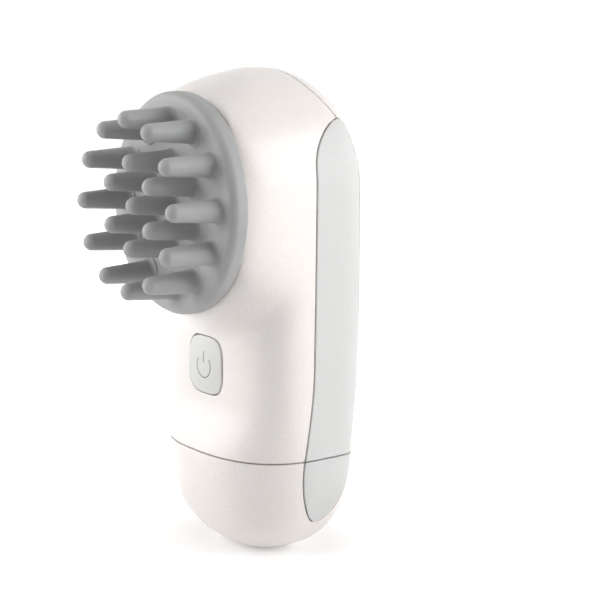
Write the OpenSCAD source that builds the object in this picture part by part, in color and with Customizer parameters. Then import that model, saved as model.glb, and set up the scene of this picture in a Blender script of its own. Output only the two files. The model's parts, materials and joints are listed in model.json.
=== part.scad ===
// Handheld cleansing and scalp massage device with a clip-on turning head.
// Millimetres, +Z up the handle, the head faces -Y and the width is along X.
// The origin is the middle of the small flat that the handle stands on.

/* [Body] */
// Height of the handle
body_h = 150; // [148:0.5:154]
// Width of the handle
body_w = 63.5; // [62:0.5:66]
// Depth of the handle in front of its axis
front_depth = 21; // [20.6:0.1:22]
// Depth of the handle behind its axis at the belly
back_depth = 20; // [19.8:0.1:21]
// Squareness of the section's front half, 2 is an ellipse
front_power = 3.6; // [3.4:0.2:5]
// Squareness of the section's back half, 2 is an ellipse
back_power = 5.5; // [4.5:0.5:6]
// How much deeper the front is at the foot
toe_depth = 4.5; // [3:0.5:5]
// Squareness of the section's front half at the foot
toe_power = 2.4; // [2.2:0.1:2.8]
// Height of the rounded foot
foot_dome = 29; // [28:0.5:30]
// Squareness of the foot's dome seen from the side, 2 is an ellipse
foot_power = 2.2; // [2:0.1:2.4]
// How far the foot's dome is cut off to stand flat
foot_flat = 1; // [0.8:0.1:1.4]
// Height of the rounded crown
crown_dome = 35; // [33:0.5:36]
// Squareness of the crown's dome seen from the side, 2 is an ellipse
crown_power = 1.9; // [1.8:0.05:2.2]
// Height at which the back is deepest
belly_z = 88; // [86:1:92]
// How much thinner the back is at the foot
back_taper = 7; // [6:0.5:8]
// How much narrower each side is at the foot
side_taper = 1; // [0:0.5:1.5]
// Wall of the shells
wall = 2; // [1.8:0.1:2.2]

/* [Seams] */
// Height of the line between the handle and its battery cap
cap_z = 33; // [32:0.5:34]
// Gap at the cap line
cap_gap = 0.4; // [0.3:0.1:0.6]
// Distance of the seam between the shells behind the axis
seam_y = 11; // [10.5:0.1:11.5]
// Height from which the seam leans forward
seam_bend_z = 133; // [131:1:136]
// How far the seam leans forward at the crown
seam_lean = 9.5; // [6:0.5:11]
// Gap at the seam between the shells
seam_gap = 0.2; // [0.1:0.1:0.4]

/* [Neck] */
// Height of the head's axis
head_z = 109.8; // [109:0.1:111]
// Distance of the neck's face in front of the axis
neck_y = 27.8; // [27.4:0.1:28.6]
// Radius of the neck's face
neck_r = 32; // [31:0.5:32.5]
// Width of the fillet round the neck
neck_flare = 11; // [10:0.5:12]
// Radius of the opening in the neck's face
neck_hole_r = 14.6; // [14.5:0.1:14.8]

/* [Head] */
// Radius of the silicone pad
pad_r = 33.3; // [32.5:0.1:34]
// Thickness of the pad's rim
pad_t = 5.8; // [5:0.1:6.5]
// Depth of the hollow in the pad's face
pad_dish = 1.3; // [0.8:0.1:1.8]
// Radius of the pad's front edge
pad_edge_r = 2.6; // [2:0.1:2.8]
// Running gap between the neck's face and the head
head_gap = 0.4; // [0.3:0.1:0.6]
// Radius of the inner ring of fingers
ring_inner_r = 12.65; // [12:0.05:13]
// Radius of the outer ring of fingers
ring_outer_r = 25.2; // [24.5:0.1:25.6]
// Fingers in the inner ring
inner_fingers = 6; // [5:1:6]
// Fingers in the outer ring
outer_fingers = 12; // [10:1:12]
// Length of an outer finger from the pad's rim plane
finger_l = 16.6; // [14:0.1:18]
// How much shorter the inner fingers reach
inner_drop = 1.2; // [0:0.1:2]
// How much shorter the middle finger reaches
middle_drop = 2.2; // [0:0.1:3]
// Radius of a finger's round tip
finger_tip_r = 2.6; // [2.4:0.1:2.8]
// Radius of a finger above its root
finger_root_r = 3.5; // [3.2:0.1:3.7]
// Radius of the fillet at a finger's root
finger_fillet = 1.4; // [1:0.1:1.6]
// Radius of the rigid carrier in the pad's back
carrier_r = 29.5; // [28:0.5:30]
// Thickness of the carrier
carrier_t = 1.8; // [1.6:0.1:2]
// Width of each clip lug on the carrier
lug_w = 6; // [5:0.5:6.5]
// Thickness of each clip lug
lug_t = 2; // [1.6:0.1:2.2]
// Radius at which the clip lugs stand
lug_r = 10.4; // [10:0.1:10.6]
// Number of clip lugs
lugs = 3; // [3:1:4]
// Clearance round the clip lugs and the hexagon drive
clip_clear = 0.15; // [0.1:0.05:0.2]
// Width across the corners of the hexagon drive
hex_d = 9; // [8:0.5:9.5]
// Height of the hexagon drive
hex_h = 3.4; // [3:0.1:3.8]

/* [Side grips] */
// Distance of a grip's upper end below the crown
grip_drop = 15.1; // [14:0.1:17]
// Height of a grip's lower end
grip_foot = 12.2; // [10:0.2:13]
// Angle from the front to a grip's middle
grip_angle = 99.7; // [98:0.1:101]
// Half of the angle that a grip covers at its upper end
grip_spread = 14; // [13:0.2:15]
// How much wider that half angle is at the lower end
grip_widen = 2; // [0:0.5:2]
// Angle by which a grip leans back at its upper end
grip_lean_top = 12; // [6:1:14]
// Angle by which a grip leans forward at its lower end
grip_lean_foot = 6.6; // [4:0.2:8]
// Length of a grip's rounded upper end
grip_round_top = 15; // [14:1:19]
// Length of a grip's rounded lower end
grip_round_foot = 19; // [16:1:21]
// Thickness of a grip
grip_t = 1.1; // [1:0.05:1.2]
// Gap round a grip
grip_gap = 0.35; // [0.3:0.05:0.5]
// How far a grip stands proud of the shell
grip_proud = 0.15; // [0.1:0.05:0.3]

/* [Button] */
// Width of the power button
button_w = 17.7; // [16:0.1:18]
// Height of the power button
button_h = 17.9; // [17:0.1:18.5]
// Height of the button's middle
button_z = 59.5; // [59:0.5:60.5]
// Squareness of the button
button_power = 3.4; // [3:0.2:5]
// How far the button stands proud
button_proud = 0.9; // [0.7:0.1:1.2]
// Gap round the button
button_gap = 0.3; // [0.25:0.05:0.4]
// Travel of the button
button_travel = 0.6; // [0.4:0.1:0.7]
// Width of the button's inner flange
button_flange = 1.4; // [1:0.1:1.5]

/* [Battery] */
// Diameter of a cell
cell_d = 14.5; // [14:0.1:14.6]
// Length of a cell with its stud
cell_l = 50.5; // [49:0.5:50.5]
// Distance of each cell from the middle
cell_x = 8; // [7.9:0.1:8.2]
// Distance of the cells behind the axis
cell_y = 1.5; // [1:0.1:2]
// Height of the cells' lower ends
cell_z = 11.8; // [11.6:0.1:12.4]
// Clearance round a cell in its sleeve
cell_clear = 0.25; // [0.2:0.05:0.3]
// Wall of the battery sleeves
sleeve_wall = 1.1; // [1:0.1:1.2]
// Room for a spring at a cell's end
spring_room = 3.1; // [3:0.1:3.4]
// Thickness of the contact plates
plate_t = 0.3; // [0.3:0.05:0.4]

/* [Drive] */
// Module of the gear teeth
gear_module = 0.5; // [0.5:0.05:0.5]
// Teeth of the motor's pinion
pinion_teeth = 12; // [12:1:13]
// Teeth of the large wheel of the compound gear
wheel_teeth = 40; // [38:1:40]
// Teeth of the small wheel of the compound gear
spur_teeth = 12; // [12:1:13]
// Teeth of the output gear
output_teeth = 48; // [46:1:48]
// Radius of the output shaft
shaft_r = 2.5; // [2.4:0.1:2.6]
// Radius of the compound gear's axle
axle_r = 1; // [0.9:0.05:1.1]
// Radius of the motor's shaft
motor_shaft_r = 1; // [0.9:0.05:1.1]
// Diameter of the motor's can
motor_d = 20; // [19.6:0.1:20.2]
// Distance between the flats of the can
motor_flat = 15.2; // [15:0.1:15.4]
// Length of the motor's can
motor_l = 19; // [18:0.5:19.5]
// Length of the motor's end cap
motor_cap_l = 5; // [4.5:0.5:5]
// Radial clearance of the running fits
run_clear = 0.05; // [0.04:0.01:0.08]

/* [Hidden] */

white = "#f4f0ec";
grip_grey = "#dcdcde";
silicone_grey = "#a9a9a9";
steel = "#b8bcc0";
brass = "#c8a24a";
black = "#2a2a2c";

crown_z = body_h - crown_dome;
toe_z = 50;
toe_l = 22;
neck_start = 0.25;
neck_square = 0.8;
grip_top = body_h - grip_drop;
recess_room = 0.12;
around = 48;
inner_around = 36;
long_way = 200;

// Planes of the drive along Y, from the head back to the motor
hub_front = -neck_y + 0.2;
hub_t = 2.8;
frame_front = hub_front + hub_t + 1.2;
frame_plate = 2.8;
gear_air = 0.4;
output_front = frame_front + frame_plate + gear_air;
output_t = 3.5;
spur_t = 4.4;
wheel_front = output_front + spur_t + 0.4;
wheel_t = 3;
cover_front = wheel_front + wheel_t + 1.3;
cover_t = 2;
motor_front = cover_front + cover_t;
motor_screw_x = 6.4;
output_pitch = gear_module * output_teeth / 2;
spur_pitch = gear_module * spur_teeth / 2;
wheel_pitch = gear_module * wheel_teeth / 2;
pinion_pitch = gear_module * pinion_teeth / 2;
idler_z = head_z - output_pitch - spur_pitch;
motor_z = idler_z - wheel_pitch - pinion_pitch;
gear_backlash = 0.06;
pressure_angle = 25;
bush_r = 4;
seal_r = 5.4;
seal_t = 1.2;
press_clear = 0.02;

// Gearbox outline: a round end at the head, a straight body to the motor and four ears
box_r = output_pitch + gear_module + 2;
box_wall = 1.4;
box_half_w = wheel_pitch + gear_module + 2.2;
box_low_z = motor_z - pinion_pitch - gear_module - 3.6;
step_front = -front_depth + wall + 1.1;
step_r = neck_r - 6;
step_plate = 1.4;
ear_r = 3;
ear_low = [box_half_w + 1.8, motor_z];
ear_high = [13.4, head_z + 11.2];
screw_shank_r = 0.95;
screw_head_r = 1.9;
screw_head_h = 1.2;
box_screw_deep = -neck_y + wall + 0.6;

// Planes of the button and the board along Y
inside_front = -front_depth + wall;
flange_t = 1;
flange_front = inside_front + 0.1;
seal_w = 1.6;
plunger_tip = inside_front + 2.8;
plunger_r = 1.7;
switch_size = 6;
switch_front = plunger_tip + 1;
switch_t = 3.4;
board_front = switch_front + switch_t;
board_t = 1.2;
board_w = 32.4;
board_low_z = button_z - 17.5;
board_h = 30;
post_x = 13.6;
post_inset = 2.4;
post_r = 2.2;
board_screw_r = 0.7;
board_post_z = [board_low_z + post_inset, board_low_z + board_h - post_inset];

// Screws that join the shells
shell_screw_low = [21.5, cap_z + 14];
shell_screw_high = [19, body_h - 23.7];
boss_r = 3;
boss_pilot_r = 0.85;
boss_foot = -14;
screw_seat_y = seam_y + 2.6;

// Groove for the seal on the cap's collar
seal_groove_z = 2;
seal_groove_h = 1.6;
seal_groove_in = wall + 1.1;
collar_h = 6;

// Battery sleeves and contacts
sleeve_r = cell_d / 2 + cell_clear;
sleeve_low_z = cell_z + 2;
plate_low_z = cell_z - spring_room - plate_t;
plate_high_z = cell_z + cell_l + spring_room;
sleeve_top_z = plate_high_z + plate_t + 0.1;
roof_t = 1.4;
plate_w = 11;
plate_deep = 8;
stud_r = 2.7;
stud_h = 1;

function smooth(t) = t <= 0 ? 0 : t >= 1 ? 1 : t * t * (3 - 2 * t);
function lower_share(z) = pow(max(0, (belly_z - z) / belly_z), 1.5);
function toe_share(z) = smooth((toe_z - z) / toe_l);

function dome_share(t, power) = pow(max(0.001, 1 - pow(min(t, 1), power)), 1 / power);

// Share of the full section at a height, o is the distance inside the outer surface
function end_swell(z, o) =
    z < foot_dome ? dome_share((foot_dome - z) / (foot_dome + foot_flat - o), foot_power)
    : z > crown_z ? dome_share((z - crown_z) / (crown_dome - o), crown_power)
    : 1;

// How much a point belongs to the neck: 1 on its face, falling over the fillet to 0
function neck_share(x, z, o) =
    let (t = (norm([x, z - head_z]) - neck_r + o) / neck_flare)
    t <= 0 ? 1 : t >= 1 ? 0 : (1 + cos(180 * t)) / 2;

// Point of the handle's surface at a height and an angle from the front
function skin(z, turn, o) =
    let (
        swell = end_swell(z, o),
        a = (body_w / 2 - side_taper * lower_share(z) - o) * swell,
        toe = toe_share(z),
        deep = cos(turn) > 0 ? front_depth + toe_depth * toe : back_depth - back_taper * lower_share(z),
        d = (deep - o) * swell,
        power = cos(turn) > 0 ? front_power + (toe_power - front_power) * toe : back_power,
        r = pow(pow(abs(sin(turn)) / a, power) + pow(abs(cos(turn)) / d, power), -1 / power),
        x = r * sin(turn),
        y = -r * cos(turn),
        pull_start = (-y / d - neck_start) / (neck_square - neck_start),
        pull = y < 0 ? smooth(pull_start) * neck_share(x, z, o) : 0
    )
    [x, y - (neck_y - o + y) * pull, z];

// Angle from the front, with more points where the corners turn
function corner_turn(u) = u + 12 * sin(2 * u) + 6 * sin(4 * u);

// Heights of the rings between two heights, closer together where the surface curves
function ring_heights(o, fine, low, high) =
    let (
        foot_span = foot_dome + foot_flat - o,
        foot_turn = asin((foot_dome - o) / foot_span),
        neck_low = head_z - neck_r - neck_flare,
        neck_mid = neck_low + 1.7 * neck_flare,
        foot_n = fine ? 9 : 7,
        low_n = fine ? 9 : 7,
        fillet_n = fine ? 9 : 6,
        mid_n = fine ? 6 : 4,
        crown_n = fine ? 15 : 10,
        all = concat(
            [for (i = [0 : foot_n - 1]) foot_dome - foot_span * sin(foot_turn * (1 - i / foot_n))],
            [for (i = [0 : low_n - 1]) foot_dome + (neck_low - foot_dome) * i / low_n],
            [for (i = [0 : fillet_n - 1]) neck_low + (neck_mid - neck_low) * i / fillet_n],
            [for (i = [0 : mid_n - 1]) neck_mid + (crown_z - neck_mid) * i / mid_n],
            [for (i = [0 : crown_n]) crown_z + (crown_dome - o) * sin(88 * i / crown_n)]
        ),
        end = min(high, all[len(all) - 1]),
        start = max(low, all[0])
    )
    concat([start], [for (z = all) if (z > start + 0.4 && z < end - 0.1) z], [end]);

// Triangles of the quads between the rings of a grid, closed round or open
function grid_faces(rows, cols, first, closed) = [
    for (i = [0 : rows - 2], j = [0 : (closed ? cols : cols - 1) - 1])
        let (
            a = first + i * cols + j,
            b = first + i * cols + (j + 1) % cols,
            c = b + cols,
            d = a + cols
        )
        each [[a, c, b], [a, d, c]]
];

function flipped(faces) = [for (f = faces) [f[0], f[2], f[1]]];

// Solid inside the handle's surface moved in by o, between two heights
module skin_solid(o, fine, low, high) {
    heights = ring_heights(o, fine, low, high);
    n = fine ? around : inner_around;
    rows = len(heights);
    points = [for (z = heights, j = [0 : n - 1]) skin(z, corner_turn(360 * j / n), o)];
    foot = [for (j = [0 : n - 1]) j];
    crown = [for (j = [n - 1 : -1 : 0]) (rows - 1) * n + j];
    polyhedron(points, concat(grid_faces(rows, n, 0, true), [foot, crown]));
}

// Slab that follows the surface between two depths, over rows of heights and a span of angles
module skin_slab(heights, spans, out, in, cols) {
    rows = len(heights);
    shell = rows * cols;
    outer = [for (i = [0 : rows - 1], j = [0 : cols - 1])
        skin(heights[i], spans[i][0] + (spans[i][1] - spans[i][0]) * j / (cols - 1), out)];
    inner = [for (i = [0 : rows - 1], j = [0 : cols - 1])
        skin(heights[i], spans[i][0] + (spans[i][1] - spans[i][0]) * j / (cols - 1), in)];
    sides = concat(
        [for (i = [0 : rows - 2]) let (a = i * cols, b = a + cols)
            each [[a, b + shell, b], [a, a + shell, b + shell]]],
        [for (i = [0 : rows - 2]) let (a = i * cols + cols - 1, b = a + cols)
            each [[a, b, b + shell], [a, b + shell, a + shell]]],
        [for (j = [0 : cols - 2]) each [[j, j + 1, j + 1 + shell], [j, j + 1 + shell, j + shell]]],
        [for (j = [0 : cols - 2]) let (a = (rows - 1) * cols + j)
            each [[a, a + 1 + shell, a + 1], [a, a + shell, a + 1 + shell]]]
    );
    polyhedron(
        concat(outer, inner),
        concat(grid_faces(rows, cols, 0, false), flipped(grid_faces(rows, cols, shell, false)), sides)
    );
}

// Angle of a grip's middle at a height: it leans forward at the foot and back at the crown
function grip_middle(z) =
    let (rise = max(0, (z - grip_top + grip_round_top) / grip_round_top))
    grip_angle + grip_lean_top * pow(rise, 2.4) - grip_lean_foot * smooth((toe_z + 10 - z) / 40);

// Half of a grip's angle at a height, its two ends are rounded
function grip_half(z, more) =
    let (
        top = grip_top + more,
        foot = grip_foot - more,
        up = (z - top + grip_round_top) / grip_round_top,
        down = (foot + grip_round_foot - z) / grip_round_foot,
        t = max(0, up, down),
        wide = grip_spread + grip_widen * (grip_top - z) / (grip_top - grip_foot)
    )
    (wide + 2 * more) * sqrt(max(0.002, 1 - t * t));

// Heights of a grip's rows between two heights, closer together at a rounded end
function grip_rows(low, high) =
    [for (i = [0 : 20]) low + (high - low) * (1 - cos(180 * i / 20)) / 2];

// A grip, or with more the recess that takes it, on the side given by 1 or -1
module grip_slab(side, low, high, more, out, in) {
    heights = grip_rows(low, high);
    spans = [for (z = heights)
        let (half = grip_half(z, more), middle = side * grip_middle(z)) [middle - half, middle + half]];
    skin_slab(heights, spans, out, in, 7);
}

// Recesses for the grips in the shells, or in the cap
module shell_recesses() {
    for (side = [-1, 1])
        grip_slab(side, cap_z - 1, grip_top + grip_gap, grip_gap, -1, grip_t + recess_room);
}

module cap_recesses() {
    for (side = [-1, 1])
        grip_slab(side, grip_foot - grip_gap, cap_z + 1, grip_gap, -1, grip_t + recess_room);
}

// Outline that stays inside the handle's surface moved in by o, between two heights
module inner_outline(low, high, o) {
    intersection_for (z = [low, high])
        polygon([for (j = [0 : around - 1])
            let (p = skin(z, corner_turn(360 * j / around), o)) [p[0], p[1]]]);
}

// The same for the collar that stands on the battery cap
module collar_outline(o) {
    inner_outline(cap_z, cap_z + collar_h, o);
}

// Everything behind the seam for 1, or in front of it for -1: upright, then leaning forward at the crown
module seam_half(side) {
    line = seam_y - side * seam_gap / 2;
    far = side * long_way;
    edge = [[far, -1], [line, -1], [line, seam_bend_z], [line - seam_lean, body_h + 1], [far, body_h + 1]];
    rotate([90, 0, 90]) linear_extrude(long_way, center = true)
        polygon(side < 0 ? edge : [for (i = [4 : -1 : 0]) edge[i]]);
}

// Extrusion along Y of a shape drawn with X across and Z up
module slab_y(y0, y1) {
    rotate([90, 0, 0]) translate([0, 0, -y1]) linear_extrude(y1 - y0) children();
}

module rod_y(x, z, y0, y1, r, sides = 48) {
    translate([x, 0, z]) rotate([90, 0, 0]) translate([0, 0, -y1]) cylinder(h = y1 - y0, r = r, $fn = sides);
}

// Superellipse of the button, grown by more
module button_outline(more) {
    points = 56;
    polygon([for (i = [0 : points - 1])
        let (
            t = 360 * i / points,
            p = 2 / button_power,
            x = (button_w / 2 + more) * sign(cos(t)) * pow(abs(cos(t)), p),
            y = (button_h / 2 + more) * sign(sin(t)) * pow(abs(sin(t)), p)
        )
        [x, button_z + y]]);
}

// Screw along Y with its head at y_head, the tip at y_tip
module screw_y(x, z, y_head, y_tip, shank_r, head_r, head_h) {
    difference() {
        union() {
            rod_y(x, z, y_tip, y_head, shank_r);
            rod_y(x, z, y_head, y_head + head_h, head_r);
        }
        for (turn = [0, 90])
            translate([x, y_head + head_h, z]) rotate([0, turn, 0])
                cube([head_r * 1.2, head_h, head_r * 0.3], center = true);
    }
}

module shell_bosses() {
    for (side = [-1, 1]) {
        rod_y(side * shell_screw_low[0], shell_screw_low[1], boss_foot, seam_y - seam_gap, boss_r);
        rod_y(side * shell_screw_high[0], shell_screw_high[1], boss_foot, seam_y - seam_gap, boss_r);
    }
}

// Ribs that tie each screw boss to the side wall
module boss_ribs() {
    rib_t = 1.4;
    rib_end = body_w / 2 - wall + 0.2;
    for (side = [-1, 1]) {
        translate([side * (shell_screw_low[0] + rib_end) / 2, -3.4, shell_screw_low[1]])
            cube([rib_end - shell_screw_low[0], 6, rib_t], center = true);
        translate([side * shell_screw_high[0], (boss_foot - neck_y + wall / 2) / 2, shell_screw_high[1]])
            cube([rib_t, boss_foot + neck_y - wall / 2, 2 * boss_r], center = true);
    }
}

module front_shell() {
    pilot_l = 9;
    shell_low_z = cap_z + cap_gap / 2;
    color(white) difference() {
        union() {
            difference() {
                skin_solid(0, true, shell_low_z, body_h);
                skin_solid(wall, false, cap_z - 1, body_h);
                shell_recesses();
                rod_y(0, head_z, -neck_y - 1, -neck_y + wall + 1, neck_hole_r);
                slab_y(-front_depth - 3, inside_front + 1) button_outline(button_gap);
                slab_y(inside_front, inside_front + 2) button_outline(button_flange + seal_w + 1);
            }
            shell_bosses();
            boss_ribs();
            for (side = [-1, 1]) {
                rod_y(side * ear_high[0], ear_high[1],
                    -neck_y + wall / 2, frame_front - press_clear, ear_r - 0.2);
                rod_y(side * ear_low[0], ear_low[1],
                    -neck_y + wall + 0.8, step_front - press_clear, ear_r - 0.2);
                for (z = board_post_z)
                    rod_y(side * post_x, z, -front_depth + wall / 2, board_front - press_clear, post_r);
            }
        }
        seam_half(1);
        for (side = [-1, 1]) {
            for (place = [shell_screw_low, shell_screw_high])
                rod_y(side * place[0], place[1], seam_y - pilot_l, seam_y, boss_pilot_r);
            for (ear = [ear_low, ear_high])
                rod_y(side * ear[0], ear[1], box_screw_deep, step_front, screw_shank_r);
            for (z = board_post_z)
                rod_y(side * post_x, z, board_front - 5, board_front, board_screw_r);
        }
    }
}

// Back cover: bosses meet those of the front shell, and each screw's head sits in a deep recess
module rear_shell() {
    color(white) difference() {
        skin_solid(0, true, cap_z + cap_gap / 2, body_h);
        difference() {
            skin_solid(wall, false, cap_z - 1, body_h);
            for (side = [-1, 1], place = [shell_screw_low, shell_screw_high])
                rod_y(side * place[0], place[1], seam_y + seam_gap, back_depth, boss_r);
        }
        shell_recesses();
        seam_half(-1);
        for (side = [-1, 1], place = [shell_screw_low, shell_screw_high]) {
            rod_y(side * place[0], place[1], seam_y, back_depth + 1, screw_shank_r + 0.2);
            rod_y(side * place[0], place[1], screw_seat_y, back_depth + 1, screw_head_r + 0.3);
        }
    }
}

module shell_screws() {
    color(steel) for (side = [-1, 1], place = [shell_screw_low, shell_screw_high])
        screw_y(side * place[0], place[1], screw_seat_y + press_clear, seam_y - 8,
            boss_pilot_r - press_clear, screw_head_r, screw_head_h);
}

module side_grip(side) {
    color(grip_grey)
        grip_slab(side, cap_z + cap_gap / 2, grip_top, 0, -grip_proud, grip_t);
}

module side_grip_left() { side_grip(-1); }
module side_grip_right() { side_grip(1); }

// Battery cap: the rounded foot, a root ring and a collar that enters the handle
module battery_cap() {
    collar_in = wall + 2;
    collar_out = wall + 0.35;
    root = 5;
    rib_t = 1.6;
    rib_low = wall / 2 + 0.2;
    color(white) {
        difference() {
            skin_solid(0, true, 0, cap_z - cap_gap / 2);
            difference() {
                skin_solid(wall, false, 0, cap_z + 1);
                translate([0, 0, cap_z - root]) linear_extrude(root + 2) difference() {
                    square(2 * body_w, center = true);
                    collar_outline(collar_in);
                }
            }
            cap_recesses();
        }
        difference() {
            translate([0, 0, cap_z - root]) linear_extrude(root + collar_h) difference() {
                collar_outline(collar_out);
                collar_outline(collar_in);
            }
            translate([0, 0, cap_z + seal_groove_z]) linear_extrude(seal_groove_h) difference() {
                square(2 * body_w, center = true);
                collar_outline(seal_groove_in);
            }
        }
        for (side = [-1, 1])
            translate([side * cell_x, cell_y, (rib_low + plate_low_z) / 2])
                cube([rib_t, 7, plate_low_z - rib_low], center = true);
        translate([0, cell_y, plate_low_z - rib_t / 2])
            cube([2 * cell_x + 10, 9, rib_t], center = true);
    }
}

module cap_seal() {
    low = cap_z + seal_groove_z + 0.1;
    high = cap_z + seal_groove_z + seal_groove_h - 0.1;
    color(black) translate([0, 0, low]) linear_extrude(high - low) difference() {
        inner_outline(low, high, wall + 0.3);
        collar_outline(seal_groove_in - press_clear);
    }
}

module cap_grip(side) {
    color(grip_grey)
        grip_slab(side, grip_foot, cap_z - cap_gap / 2, 0, -grip_proud, grip_t);
}

module cap_grip_left() { cap_grip(-1); }
module cap_grip_right() { cap_grip(1); }

// Cone of wire under a cell: a round wire wound on a radius that falls from foot to top
module contact_spring(x, z, up) {
    turns = 4;
    steps = 12;
    sides = 6;
    wire_r = 0.28;
    base_r = 5.2;
    end_r = 2.6;
    rise = spring_room - 2 * wire_r;
    rows = turns * steps + 1;
    points = [for (i = [0 : rows - 1], j = [0 : sides - 1])
        let (
            t = i / (rows - 1),
            turn = 360 * turns * t,
            r = base_r + (end_r - base_r) * t + wire_r * cos(360 * j / sides),
            h = wire_r + rise * t + wire_r * sin(360 * j / sides)
        )
        [r * cos(turn), r * sin(turn), up * h]];
    ends = [for (first = [0, (rows - 1) * sides]) [for (j = [0 : sides - 1]) first + j]];
    back = [for (end = ends) [for (j = [sides - 1 : -1 : 0]) end[j]]];
    tube = grid_faces(rows, sides, 0, true);
    translate([x, cell_y, z])
        polyhedron(points, up > 0
            ? concat(flipped(tube), [back[0], ends[1]])
            : concat(tube, [ends[0], back[1]]));
}

module cap_contact_spring() { color(steel) contact_spring(-cell_x, plate_low_z + plate_t, 1); }
module top_contact_spring() { color(steel) contact_spring(cell_x, plate_high_z, -1); }

// Plate across both cells in the cap, with a raised contact under the right cell's stud
module cap_contact_bridge() {
    color(steel) {
        translate([0, cell_y, plate_low_z + plate_t / 2])
            cube([2 * cell_x + plate_w + 1, plate_deep, plate_t], center = true);
        translate([cell_x, cell_y, plate_low_z])
            cylinder(h = spring_room + plate_t - press_clear, r = 2, $fn = 32);
    }
}

module top_contact_plates() {
    tab_h = 3;
    color(steel) for (side = [-1, 1]) {
        translate([side * cell_x, cell_y, plate_high_z + plate_t / 2])
            cube([plate_w, plate_deep, plate_t], center = true);
        translate([side * cell_x, cell_y - plate_deep / 2, plate_high_z + plate_t / 2 + tab_h / 2])
            cube([3, plate_t, tab_h + plate_t], center = true);
        if (side < 0)
            translate([-cell_x, cell_y, cell_z + cell_l + press_clear])
                cylinder(h = spring_room, r = 2, $fn = 32);
    }
}

// A cell with its stud up for 1 or down for -1
module cell(x, up) {
    body_l = cell_l - stud_h;
    low = up > 0 ? cell_z : cell_z + stud_h;
    color(brass) translate([x, cell_y, 0]) {
        translate([0, 0, low]) cylinder(h = body_l, r = cell_d / 2, $fn = 64);
        translate([0, 0, up > 0 ? cell_z + body_l : cell_z]) cylinder(h = stud_h, r = stud_r, $fn = 48);
    }
}

module battery_left() { cell(-cell_x, 1); }
module battery_right() { cell(cell_x, -1); }

// Two open sleeves with a roof, and ears that the lower shell bosses pass through
module battery_holder() {
    half_x = cell_x + sleeve_r + sleeve_wall;
    deep = 2 * (sleeve_r + sleeve_wall);
    ear_t = 2;
    slot_w = 4;
    color(black) difference() {
        union() {
            for (side = [-1, 1])
                translate([side * cell_x, cell_y, sleeve_low_z])
                    cylinder(h = sleeve_top_z + roof_t - sleeve_low_z, r = sleeve_r + sleeve_wall, $fn = 64);
            translate([0, cell_y, (sleeve_low_z + sleeve_top_z + roof_t) / 2])
                cube([2 * cell_x, deep, sleeve_top_z + roof_t - sleeve_low_z], center = true);
            for (side = [-1, 1])
                translate([side * (half_x + shell_screw_low[0] + boss_r) / 2, cell_y, shell_screw_low[1]])
                    cube([shell_screw_low[0] + boss_r + 3 - half_x, ear_t, 12], center = true);
        }
        for (side = [-1, 1]) {
            translate([side * cell_x, cell_y, 0]) cylinder(h = sleeve_top_z, r = sleeve_r, $fn = 64);
            rod_y(side * shell_screw_low[0], shell_screw_low[1], -long_way / 4, long_way / 4, boss_r + 0.1);
            translate([side * cell_x - slot_w / 2, cell_y - 5, sleeve_top_z - 0.5])
                cube([slot_w, 2, roof_t + 1]);
            translate([side * cell_x, cell_y + sleeve_r, (sleeve_low_z + sleeve_top_z) / 2])
                cube([5, 6, 24], center = true);
        }
    }
}

// Tube along a list of points, a rod for each stretch and a ball at each bend
module lead(path, r) {
    for (i = [0 : len(path) - 2]) {
        a = path[i];
        v = path[i + 1] - a;
        translate(a) rotate([0, acos(v[2] / norm(v)), atan2(v[1], v[0])])
            cylinder(h = norm(v), r = r, $fn = 24);
    }
    for (i = [1 : len(path) - 2])
        translate(path[i]) sphere(r = r * 1.06, $fn = 24);
}

lead_r = 0.6;

module battery_leads() {
    tab_z = plate_high_z + plate_t + 2;
    over_z = plate_high_z + roof_t + 3.6;
    for (side = [-1, 1])
        color(side < 0 ? "#b83028" : black) lead([
            [side * cell_x, cell_y - 4.9, tab_z],
            [side * cell_x, cell_y - 5.6, over_z],
            [side * 6, -6.4, over_z],
            [side * 5, board_front + board_t + lead_r, board_low_z + board_h - 4],
        ], lead_r);
}

module motor_leads() {
    back_y = motor_front + motor_l + motor_cap_l + 1.6;
    under_z = motor_z - motor_flat / 2 - 2.4;
    for (side = [-1, 1])
        color(side < 0 ? "#b83028" : black) lead([
            [side * 5.5, back_y - 0.4, motor_z - 2],
            [side * 5.5, back_y, motor_z - 5],
            [side * 4.5, back_y - 1.5, under_z],
            [side * 3, 2, under_z],
            [side * 2.4, board_front + board_t + 2.4, under_z - 1.2],
            [side * 2.4, board_front + board_t + lead_r, board_low_z + board_h - 2],
        ], lead_r);
}

// Power button: crowned cap in the opening, flange behind the wall and a stem to the switch
module power_button() {
    crown_r = 70;
    stem_r = 2.4;
    flange_back = flange_front + flange_t;
    front = -front_depth - button_proud;
    color(grip_grey) {
        intersection() {
            slab_y(front, flange_back) button_outline(0);
            translate([0, front + crown_r, button_z]) sphere(r = crown_r, $fn = 160);
        }
        slab_y(flange_front, flange_back) button_outline(button_flange);
        rod_y(0, button_z, flange_front + flange_t / 2, plunger_tip - press_clear, stem_r);
    }
}

// Rubber ring on the shell's inside, round the button's flange
module button_seal() {
    color(black) slab_y(inside_front + 0.05, flange_front + flange_t) difference() {
        button_outline(button_flange + 0.3 + seal_w);
        button_outline(button_flange + 0.3);
    }
}

module circuit_board() {
    chip = [7, 1, 5];
    color("#2f6b45") {
        difference() {
            translate([-board_w / 2, board_front, board_low_z]) cube([board_w, board_t, board_h]);
            for (side = [-1, 1], z = board_post_z)
                rod_y(side * post_x, z, board_front - 1, board_front + board_t + 1, board_screw_r + 0.2);
        }
        translate([-chip[0] / 2, board_front + board_t, board_low_z + 6]) cube(chip);
        translate([2, board_front + board_t, board_low_z + 14]) cube([4, 1.2, 2.2]);
    }
}

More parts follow.
